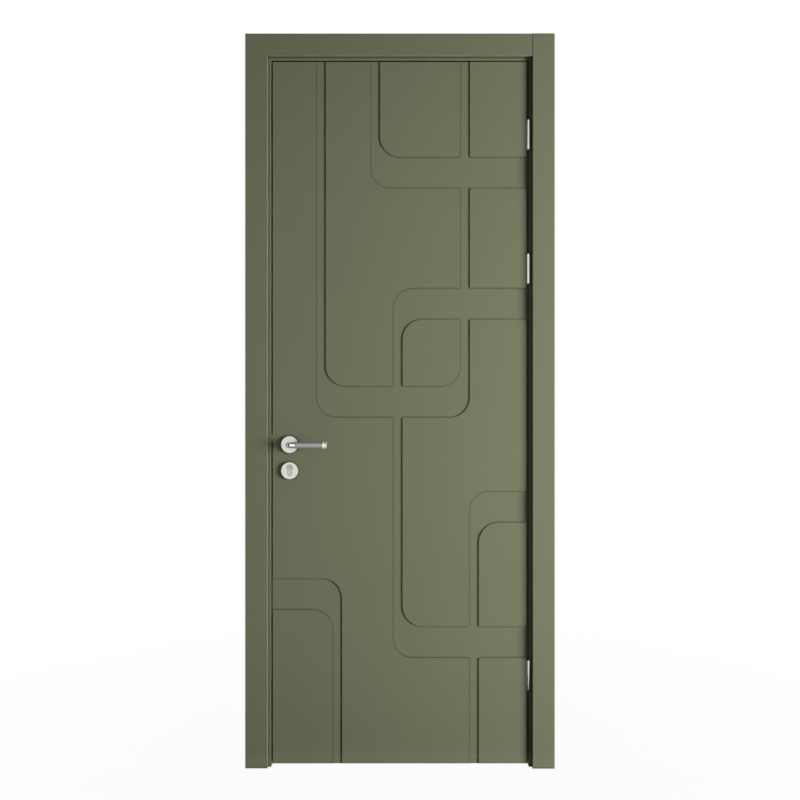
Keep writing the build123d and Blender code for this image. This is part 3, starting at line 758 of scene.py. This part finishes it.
pine = {"Light Wood": paint(214, 182, 132), "Dark Wood": paint(176, 134, 84), "Grain Size": 110}
beech = {"Light Wood": paint(205, 170, 128), "Dark Wood": paint(180, 140, 98), "Grain Size": 160}
rail_pine = material("rail_pine", timber, {**pine, "Stretch": (0.05, 1, 1)})
lock_beech = material("lock_beech", timber, {**beech, "Stretch": (1, 1, 0.06)})
dress(rail_pine, "bottom_rail", "top_rail")
dress(lock_beech, "lock_block")

stile_timber = material(
    "stile_pine_lacquered_edge",
    sprayed,
    {**lacquer_values, "Peel Depth": 0.00001},
    Specular_IOR_Level=lacquer_specular,
)
stile_tree = stile_timber.node_tree
stile_base = stile_tree.nodes["Principled BSDF"].inputs["Base Color"]
stile_wood = add(stile_tree, "Group", {"node_tree": timber})
for socket, value in {**pine, "Stretch": (1, 1, 0.05)}.items():
    stile_wood.inputs[socket].default_value = value
stile_x = add(stile_tree, "SeparateXYZ", Vector=own_place(stile_tree)).outputs["X"]
stile_out = combine(stile_tree, "ABSOLUTE", stile_x, 0.0)
lacquered = combine(stile_tree, "GREATER_THAN", stile_out, leaf_edge - 0.0001)
stile_colour = blend_colours(
    stile_tree, lacquered, stile_wood.outputs["Colour"], stile_base.links[0].from_socket
)
stile_tree.links.new(stile_colour, stile_base)
dress(stile_timber, "hinge_stile", "lock_stile")

chips, given, made = effect_group(
    "pressed_chips",
    {"Light Chip": (0.6, 0.5, 0.3, 1.0), "Dark Chip": (0.4, 0.3, 0.2, 1.0), "Chip Size": 180.0},
)
chip_cells = add(chips, "TexVoronoi", Vector=own_place(chips), Scale=given["Chip Size"])
chip_share = add(chips, "SeparateColor", Color=chip_cells.outputs["Color"]).outputs[0]
give(
    chips,
    made,
    blend_colours(chips, chip_share, given["Light Chip"], given["Dark Chip"]),
    between(chips, chip_share, 0.7, 0.85),
    bumped(chips, chip_cells.outputs["Distance"], 0.0002),
)
chipboard = material(
    "chipboard", chips, {"Light Chip": paint(205, 178, 130), "Dark Chip": paint(160, 126, 84)}
)
dress(chipboard, "chipboard_core")


# Hinges: three butt hinges of brushed stainless steel, let into the leaf and the lining. Each has five
# knuckles on a loose pin with a flat cap at both ends, and its plates are held by three countersunk screws.
# They throw no shadow, because the soft light leaves none on the leaf beside them.
brushed, given, made = effect_group(
    "brushed_metal",
    {
        "Colour": (0.6, 0.6, 0.6, 1.0),
        "Stretch": (1.0, 1.0, 0.02),
        "Line Size": 2500.0,
        "Line Depth": 0.000004,
        "Rough Low": 0.25,
        "Rough High": 0.4,
    },
)
brush_lines = noise(brushed, stretched(brushed, given["Stretch"]), given["Line Size"], 3.0)
brush_smudge = noise(brushed, own_place(brushed), 45.0, 4.0)
give(
    brushed,
    made,
    shaded(brushed, given["Colour"], about_one(brushed, brush_smudge, 0.04)),
    between(brushed, brush_smudge, given["Rough Low"], given["Rough High"]),
    bumped(brushed, brush_lines, given["Line Depth"]),
)

hinge_steel = material(
    "brushed_hinge_steel",
    brushed,
    {"Colour": paint(226, 226, 223), "Stretch": (1, 1, 0.02), "Rough Low": 0.12, "Rough High": 0.2},
    Metallic=1.0,
)


def turned(name, outline, sides=72, closed=False):
    """Solid revolved about Z from (radius, height) points."""
    builder = bmesh.new()
    start = [builder.verts.new((radius, 0, height)) for radius, height in outline]
    edges = [builder.edges.new(pair) for pair in zip(start, start[1:])]
    if closed:
        edges.append(builder.edges.new((start[-1], start[0])))
    bmesh.ops.spin(
        builder,
        geom=start + edges,
        cent=(0, 0, 0),
        axis=(0, 0, 1),
        angle=2 * math.pi,
        steps=sides,
        use_merge=True,
    )
    bmesh.ops.remove_doubles(builder, verts=builder.verts, dist=1e-7)
    return meshed(builder, name)


def shifted(mesh, x, y, z):
    """Mesh moved to a place of its own."""
    mesh.transform(Matrix.Translation((x, y, z)))
    return mesh


def cross_screw(name, head_radius, head_height, length=0.006):
    """Countersunk screw with a cross recess, its head flush at Z zero."""
    head = turned(
        name,
        rounded(
            [
                (0, 0),
                (head_radius, 0),
                (head_radius, -0.0003),
                (head_radius / 2, -head_height),
                (head_radius / 2, -length),
                (0, -length),
            ],
            [0, 0.00015, 0.0001, 0, 0, 0],
            closed=False,
        ),
        40,
    )
    arm = head_radius * 0.55
    width = head_radius * 0.1
    slot_depth = head_height * 0.7
    slots = [box_outline(-arm, arm, -width, width), box_outline(-width, width, -arm, arm)]
    return carved(head, [prism(slot, -slot_depth, cut_over, Matrix.Identity(4)) for slot in slots])


pin_x = leaf_edge + 0.0015
pin_y = -0.0065
barrel_radius = 0.00625
knuckle_count = 5
knuckle_clearance = 0.00015
barrel_room = 0.0003
gap_overrun = 0.01
pin_radius = 0.003
bore_radius = 0.00305
pin_cap_radius = 0.005
pin_cap_height = 0.0015
hinge_screw_head = 0.0042
screw_proud = 0.0001
jamb_face = leaf_edge + 0.003


def knuckle(level, index):
    """One length of the barrel with its ends eased."""
    pitch = hinge_height / knuckle_count
    half = pitch / 2 - knuckle_clearance
    outline = [(bore_radius, -half), (barrel_radius, -half), (barrel_radius, half), (bore_radius, half)]
    ring = turned("knuckle", rounded(outline, [0, 0.0004, 0.0004, 0]), 48, closed=True)
    return shifted(ring, pin_x, pin_y, level - hinge_height / 2 + (index + 0.5) * pitch)


def hinge_leaf(level, first_knuckle, plate_face, direction):
    """Plate with its knuckles, notched to clear the knuckles of the other plate."""
    half = hinge_height / 2
    corners = [(pin_y, -half), (hinge_plate_depth, -half), (hinge_plate_depth, half), (pin_y, half)]
    outline = moved(rounded(corners, [0, 0.006, 0.006, 0]), 0, level)
    low, high = sorted((plate_face, plate_face - direction * hinge_plate))
    plate = prism(outline, low, high, along_x)
    pitch = hinge_height / knuckle_count
    gaps = []
    for index in range(1 - first_knuckle, knuckle_count, 2):
        centre = level - half + (index + 0.5) * pitch
        reach = pitch / 2 + knuckle_clearance
        gap = box_outline(
            pin_y - gap_overrun, pin_y + barrel_radius + barrel_room, centre - reach, centre + reach
        )
        gaps.append(prism(gap, low - cut_over, high + cut_over, along_x))
    plate = carved(plate, gaps)
    return carved(plate, [knuckle(level, index) for index in range(first_knuckle, knuckle_count, 2)], "UNION")


hinge_screw = cross_screw("hinge_screw", hinge_screw_head, 0.0022)
toward_minus_x = Matrix.Rotation(math.radians(-90), 4, "Y")
toward_plus_x = Matrix.Rotation(math.radians(90), 4, "Y")
hinge_screw_places = ((0.011, 0.033), (0.021, 0.0), (0.011, -0.033))
for body, first_knuckle, face, direction in (("frame", 0, jamb_face, -1), ("door", 1, leaf_edge, 1)):
    turn = toward_plus_x if direction > 0 else toward_minus_x
    for number, level in enumerate(hinge_levels, 1):
        plate = hinge_leaf(level, first_knuckle, face, direction)
        replaced = [f"hinge_{body}_leaves"]
        hinge_name = f"hinge_{number}_{body}"
        made_leaf = piece(f"{hinge_name}_leaf", plate, body, hinge_steel, replaced)
        made_leaf.visible_shadow = False
        for index, (depth, rise) in enumerate(hinge_screw_places, 1):
            place = Matrix.Translation((face + direction * screw_proud, depth, level + rise)) @ turn
            screw = hinge_screw.copy()
            piece(
                f"{hinge_name}_screw_{index}", screw, body, hinge_steel, place=place
            )
pin_half = hinge_height / 2
pin_outline = [
    (0, -pin_half - pin_cap_height),
    (pin_cap_radius, -pin_half - pin_cap_height),
    (pin_cap_radius, -pin_half),
    (pin_radius, -pin_half),
    (pin_radius, pin_half),
    (pin_cap_radius, pin_half),
    (pin_cap_radius, pin_half + pin_cap_height),
    (0, pin_half + pin_cap_height),
]
for number, level in enumerate(hinge_levels, 1):
    pin = turned("hinge_pin", rounded(pin_outline, [0, 0.0005, 0, 0, 0, 0, 0.0005, 0], closed=False), 48)
    place = Matrix.Translation((pin_x, pin_y, level))
    made_pin = piece(
        f"hinge_{number}_pin", pin, "frame", hinge_steel, ["hinge_pins"], place
    )
    made_pin.visible_shadow = False


# Mortise lock: a zinc-plated pressed case in the leaf's edge, with a satin steel forend, a bevelled latch
# and a deadbolt. The follower takes the square spindle, and the profile cylinder turns the cam.
plated_steel = material(
    "zinc_plated_steel",
    brushed,
    {
        "Colour": paint(176, 178, 176),
        "Stretch": (1, 1, 1),
        "Line Size": 300.0,
        "Line Depth": 0.00001,
        "Rough Low": 0.32,
        "Rough High": 0.5,
    },
    Metallic=1.0,
)
satin_values = {
    "Colour": paint(205, 204, 199),
    "Stretch": (1, 1, 0.02),
    "Rough Low": 0.24,
    "Rough High": 0.34,
}
forend_steel = material("satin_steel", brushed, satin_values, Metallic=0.85)
dress(plated_steel, "lock_case", "lock_follower", "spindle", "cylinder_screw", "rosette_bolts")
dress(plated_steel, "frame_screws")
dress(plated_steel, "cylinder_cam", "lever_grub_screws", arris=0.0002)
dress(forend_steel, "lock_forend", arris=0.0003)
dress(forend_steel, "latch_bolt", "deadbolt", arris=0.0006)


# Strike: a satin steel plate let into the lining, with a moulded dust box behind it. The front end of the
# lip that guides the latch is sprayed over with the lining, so no metal shows beside the closed leaf.
lip_steel = material("satin_steel_lacquered_lip", brushed, satin_values)
lacquered_lip = 0.008
lip_tree = lip_steel.node_tree
lip_shader = lip_tree.nodes["Principled BSDF"]
lip_depth = add(lip_tree, "SeparateXYZ", Vector=own_place(lip_tree)).outputs["Y"]
bare_steel = combine(lip_tree, "GREATER_THAN", lip_depth, lacquered_lip)
steel_colour = lip_shader.inputs["Base Color"].links[0].from_socket
lip_colour = blend_colours(lip_tree, bare_steel, sage_green, steel_colour)
lip_tree.links.new(lip_colour, lip_shader.inputs["Base Color"])
lip_tree.links.new(bare_steel, lip_shader.inputs["Metallic"])
dress(lip_steel, "strike_plate", arris=0.0003)
moulded, given, made = effect_group(
    "moulded_plastic",
    {"Colour": (0.03, 0.03, 0.03, 1.0), "Texture Depth": 0.00003},
)
moulded_place = own_place(moulded)
moulded_cloud = noise(moulded, moulded_place, 40.0, 3.0)
give(
    moulded,
    made,
    shaded(moulded, given["Colour"], about_one(moulded, moulded_cloud, 0.1)),
    between(moulded, moulded_cloud, 0.4, 0.55),
    bumped(moulded, noise(moulded, moulded_place, 1800.0, 1.0), given["Texture Depth"]),
)
black_plastic = material("black_plastic", moulded, {"Colour": paint(34, 34, 35)})
dress(black_plastic, "strike_box", arris=0.0003)

plate_screw_head = 0.0038
plate_screw = cross_screw("plate_screw", plate_screw_head, 0.002)
for name, body in (("forend_screw", "door"), ("strike_screw", "frame")):
    node = f"{name}s"
    screw_low, screw_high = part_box(node)
    head_x = screw_low.x if body == "door" else screw_high.x
    turn = toward_minus_x if body == "door" else toward_plus_x
    for index, level in enumerate((screw_high.z - plate_screw_head, screw_low.z + plate_screw_head), 1):
        place = Matrix.Translation((head_x, mid_leaf, level)) @ turn
        piece(f"{name}_{index}", plate_screw.copy(), body, forend_steel, [node], place)


# Rosettes: turned brass covers with a satin nickel finish and a bevelled rim. The lever's cover clips
# over a base that is bolted through the leaf, and the key rosette grips the profile cylinder.
turned_lines, given, made = effect_group(
    "turned_metal",
    {
        "Colour": (0.6, 0.6, 0.6, 1.0),
        "Line Size": 1800.0,
        "Line Depth": 0.000003,
        "Rough Low": 0.25,
        "Rough High": 0.35,
    },
)
turned_place = own_place(turned_lines)
turned_split = add(turned_lines, "SeparateXYZ", Vector=turned_place)
turned_square_x = combine(turned_lines, "MULTIPLY", turned_split.outputs["X"], turned_split.outputs["X"])
turned_square_y = combine(turned_lines, "MULTIPLY", turned_split.outputs["Y"], turned_split.outputs["Y"])
turned_sum = combine(turned_lines, "ADD", turned_square_x, turned_square_y)
turned_radius = combine(turned_lines, "POWER", turned_sum, 0.5)
turned_rings = add(turned_lines, "CombineXYZ", X=turned_radius, Z=turned_split.outputs["Z"]).outputs[0]
turned_noise = noise(turned_lines, turned_rings, given["Line Size"], 2.0)
turned_smudge = noise(turned_lines, turned_place, 70.0, 4.0)
give(
    turned_lines,
    made,
    shaded(turned_lines, given["Colour"], about_one(turned_lines, turned_smudge, 0.03)),
    between(turned_lines, turned_smudge, given["Rough Low"], given["Rough High"]),
    bumped(turned_lines, turned_noise, given["Line Depth"]),
)

satin_nickel = material(
    "satin_nickel",
    turned_lines,
    {"Colour": paint(219, 219, 214), "Rough Low": 0.3, "Rough High": 0.4},
    Metallic=1.0,
)
polished_chrome = material(
    "polished_chrome",
    turned_lines,
    {"Colour": paint(244, 245, 246), "Line Depth": 0.0000002, "Rough Low": 0.04, "Rough High": 0.08},
    Metallic=1.0,
)
rosette_radius = 0.0275
rosette_height = 0.0085
rosette_wall = 0.0015
rosette_bevel = 0.0014
neck_radius = 0.009
bearing_clearance = 0.00005


def out_of_leaf(face, z):
    """Place at the spindle's X whose own Z looks out of the front (-1) or rear (1) face of the leaf."""
    y = 0 if face < 0 else leaf_thickness
    axes = Matrix(((1, 0, 0), (0, 0, face), (0, -face, 0))).to_4x4()
    return Matrix.Translation((spindle_x, y, z)) @ axes


rosette_face = rosette_height - rosette_wall
cover_outline = rounded(
    [
        (rosette_radius - rosette_wall, 0),
        (rosette_radius, 0),
        (rosette_radius, rosette_height - rosette_bevel),
        (rosette_radius - rosette_bevel, rosette_height),
        (neck_radius + bearing_clearance, rosette_height),
        (neck_radius + bearing_clearance, rosette_face),
        (rosette_radius - rosette_wall, rosette_face),
    ],
    [0, 0.0002, 0.0004, 0.0004, 0.0003, 0, 0],
)
key_outline = rounded(
    [
        (0, 0),
        (rosette_radius, 0),
        (rosette_radius, rosette_height - rosette_bevel),
        (rosette_radius - rosette_bevel, rosette_height),
        (0, rosette_height),
    ],
    [0, 0.0002, 0.0004, 0.0004, 0],
    closed=False,
)
key_rosette_z = cylinder_z - profile_drop / 2
key_hole_room = 0.0011
for face, side in ((-1, "front"), (1, "rear")):
    cover = turned("lever_rosette", cover_outline, 96, closed=True)
    piece(
        f"{side}_lever_rosette_cover",
        cover,
        "door",
        satin_nickel,
        [f"{side}_lever_rosette"],
        out_of_leaf(face, spindle_z),
    )
    stem_hole = moved(euro_profile(key_hole_room, -face), 0, -face * profile_drop / 2)
    key_disc = carved(
        turned("key_rosette", key_outline, 96), [prism(stem_hole, -cut_over, cut_end, Matrix.Identity(4))]
    )
    key_disc = reshaped(key_disc, "key_rosette")
    piece(
        f"{side}_key_rosette_disc",
        key_disc,
        "door",
        satin_nickel,
        [f"{side}_key_rosette"],
        out_of_leaf(face, key_rosette_z),
    )
dress(black_plastic, "front_lever_rosette_base", "rear_lever_rosette_base")


# Profile cylinder: nickel-plated brass, slotted for the cam, with a ringed plug that turns in front and a
# flat keyway across it. An oval thumb turn works it from behind.
cylinder_nickel = material(
    "cylinder_nickel",
    turned_lines,
    {"Colour": paint(198, 196, 190), "Rough Low": 0.24, "Rough High": 0.32},
    Metallic=1.0,
)
plug_radius = plug_high.x - spindle_x
cam_half_width = mid_leaf - plug_high.y
cylinder_easing = 0.0004
plug_clearance = 0.0001
plug_groove = 0.0008
plug_groove_depth = 0.0012
cam_sweep = 0.0155
cam_clearance = 0.0003


def ease_ends(builder):
    """Ease the edges that start and end at the cylinder's two faces."""
    faces = (cylinder_low.y, cylinder_high.y)
    outer = []
    for edge in builder.edges:
        if max(min(abs(vert.co.y - face) for face in faces) for vert in edge.verts) < touching:
            outer.append(edge)
    bmesh.ops.bevel(builder, geom=outer, offset=cylinder_easing, segments=3, profile=0.5, affect="EDGES")


cylinder_outline = moved(euro_profile(), spindle_x, cylinder_z)
cylinder_blank = prism(cylinder_outline, cylinder_low.y, cylinder_high.y, into_wall)
plug_bore = circle(spindle_x, cylinder_z, plug_radius + plug_clearance)
plug_groove_ring = circle(spindle_x, cylinder_z, plug_radius + plug_groove)
cam_slot = box_outline(spindle_x - 0.02, spindle_x + 0.02, cylinder_z - cam_sweep, cylinder_z + 0.02)
cam_room = cam_half_width + cam_clearance
cylinder_cutters = [
    prism(plug_bore, -0.1, 0.1, into_wall),
    prism(plug_groove_ring, -0.1, cylinder_low.y + plug_groove_depth, into_wall),
    prism(cam_slot, mid_leaf - cam_room, mid_leaf + cam_room, into_wall),
]
cylinder_shell = carved(reshaped(cylinder_blank, "cylinder_blank", ease_ends), cylinder_cutters)
cylinder_shell = reshaped(cylinder_shell, "cylinder_shell")
piece("cylinder_shell", cylinder_shell, "door", cylinder_nickel, ["cylinder_body"])

plug_front = -plug_low.y
plug_rim = 0.0012
plug_rim_slope = 0.0003
plug_hollow = 0.0004
keyway_depth = 0.02
plug_outline = [
    (0, -plug_high.y),
    (plug_radius, -plug_high.y),
    (plug_radius, plug_front),
    (plug_radius - plug_rim, plug_front),
    (plug_radius - plug_rim - plug_rim_slope, plug_front - plug_hollow),
    (0, plug_front - plug_hollow),
]
plug_outline = rounded(plug_outline, [0, 0.0002, 0.0004, 0.0001, 0.0001, 0], closed=False)
keyway_outlines = [box_outline(-0.004, 0.004, -0.0007, 0.0009), box_outline(-0.0012, 0.0018, -0.0012, 0)]
keyway_cutters = [
    prism(outline, plug_front - keyway_depth, plug_front + cut_over, Matrix.Identity(4))
    for outline in keyway_outlines
]
ringed_plug = reshaped(carved(turned("ringed_plug", plug_outline, 72), keyway_cutters), "ringed_plug")
plug_place = out_of_leaf(-1, cylinder_z)
piece("ringed_plug", ringed_plug, "key_cam", cylinder_nickel, ["cylinder_plug"], plug_place)
dress(cylinder_nickel, "thumb_turn", arris=0.0004)


# Levers: a polished chrome neck turns through a bend into a rod. A satin grey sleeve slides over the
# rod, and a satin chrome cap with a waist and a dished end closes it.
grey_satin = material(
    "grey_satin_sleeve",
    turned_lines,
    {"Colour": paint(172, 172, 171), "Line Size": 1200.0, "Rough Low": 0.42, "Rough High": 0.52},
    Metallic=0.35,
)
satin_cap = material(
    "satin_chrome_cap",
    turned_lines,
    {"Colour": paint(250, 250, 241), "Rough Low": 0.22, "Rough High": 0.3},
    Metallic=0.4,
)
neck_foot = 0.0005
neck_bend = 0.014
lever_stand_off = 0.05
lever_waist_start = 0.019
lever_waist_radius = 0.0076
grip_start = 0.022
grip_end = 0.103
grip_radius = 0.0098
rod_radius = 0.006
cap_radius = 0.0114
cap_waist_radius = 0.0072
cap_length = 0.011
cap_dish = 0.002
cap_shoulder = 0.0006
cap_pinch = 0.0012
cap_lip = 0.0016
rod_into_cap = 0.002
lever_length = 0.118
spindle_side = 0.008
socket_room = 0.0003


def tube(name, stations, sides=64):
    """Closed solid through rings, each given as (centre, direction, radius)."""
    builder = bmesh.new()
    rings = []
    for centre, direction, radius in stations:
        across = Vector((0, 1, 0))
        beside = direction.cross(across)
        ring = []
        for index in range(sides):
            turn = 2 * math.pi * index / sides
            spoke = across * math.cos(turn) + beside * math.sin(turn)
            ring.append(builder.verts.new(centre + spoke * radius))
        rings.append(ring)
    builder.faces.new(rings[0])
    builder.faces.new(rings[-1])
    for before, after in zip(rings, rings[1:]):
        for index in range(sides):
            builder.faces.new((before[index - 1], before[index], after[index], after[index - 1]))
    return meshed(builder, name, math.radians(40))


def lever_neck():
    """Neck from the rosette, round the bend and on to the rod's end, with its square socket."""
    bend_start = lever_stand_off - neck_bend
    out = Vector((0, 0, 1))
    stations = [(out * neck_foot, out, neck_radius), (out * bend_start, out, neck_radius)]
    bend_steps = 18
    for step in range(1, bend_steps + 1):
        turn = math.radians(90) * step / bend_steps
        centre = Vector((neck_bend * (1 - math.cos(turn)), 0, bend_start + neck_bend * math.sin(turn)))
        stations.append((centre, Vector((math.sin(turn), 0, math.cos(turn))), neck_radius))
    waist = rounded(
        [
            (lever_waist_start, neck_radius),
            (grip_start, lever_waist_radius),
            (grip_start, rod_radius),
            (grip_end + rod_into_cap, rod_radius),
        ],
        [0.002, 0.0004, 0, 0],
        closed=False,
    )
    along = Vector((1, 0, 0))
    stations += [(Vector((x, 0, lever_stand_off)), along, radius) for x, radius in waist]
    half_side = spindle_side / 2 + bearing_clearance
    square = box_outline(-half_side, half_side, -half_side, half_side)
    spindle_reach = (spindle_high.y - spindle_low.y - leaf_thickness) / 2
    socket = prism(square, -cut_over, spindle_reach + socket_room, Matrix.Identity(4))
    return reshaped(carved(tube("lever_neck", stations), [socket]), "lever_neck")


along_lever = Matrix.Translation((0, 0, lever_stand_off)) @ along_x
grip_outline = rounded(
    [
        (rod_radius, grip_start),
        (grip_radius, grip_start),
        (grip_radius, grip_end),
        (rod_radius, grip_end),
    ],
    [0, 0.0012, 0.0006, 0],
)
flare = lever_length - cap_length
cap_outline = rounded(
    [
        (0, grip_end + rod_into_cap),
        (rod_radius, grip_end + rod_into_cap),
        (rod_radius, grip_end),
        (cap_waist_radius, grip_end),
        (cap_waist_radius, flare - cap_shoulder),
        (cap_radius, flare - cap_shoulder),
        (cap_radius - cap_pinch, flare + cap_length / 2),
        (cap_radius, lever_length),
        (cap_radius - cap_lip, lever_length),
        (0, lever_length - cap_dish),
    ],
    [0, 0, 0, 0, 0.0003, 0.0005, 0.012, 0.0005, 0.0005, 0],
    closed=False,
)
for face, side in ((-1, "front"), (1, "rear")):
    rose = out_of_leaf(face, spindle_z)
    grip = turned("lever_grip", grip_outline, 96, closed=True)
    cap = turned("lever_cap", cap_outline, 96)
    for part, mesh, finish, slot, place in (
        ("neck", lever_neck(), polished_chrome, "polished_chrome", rose),
        ("grip", grip, grey_satin, "grey_satin_sleeve", rose @ along_lever),
        ("cap", cap, satin_cap, "polished_chrome", rose @ along_lever),
    ):
        piece(f"{side}_{part}", mesh, "handle_set", finish, [f"{side}_lever_{part}"], place)
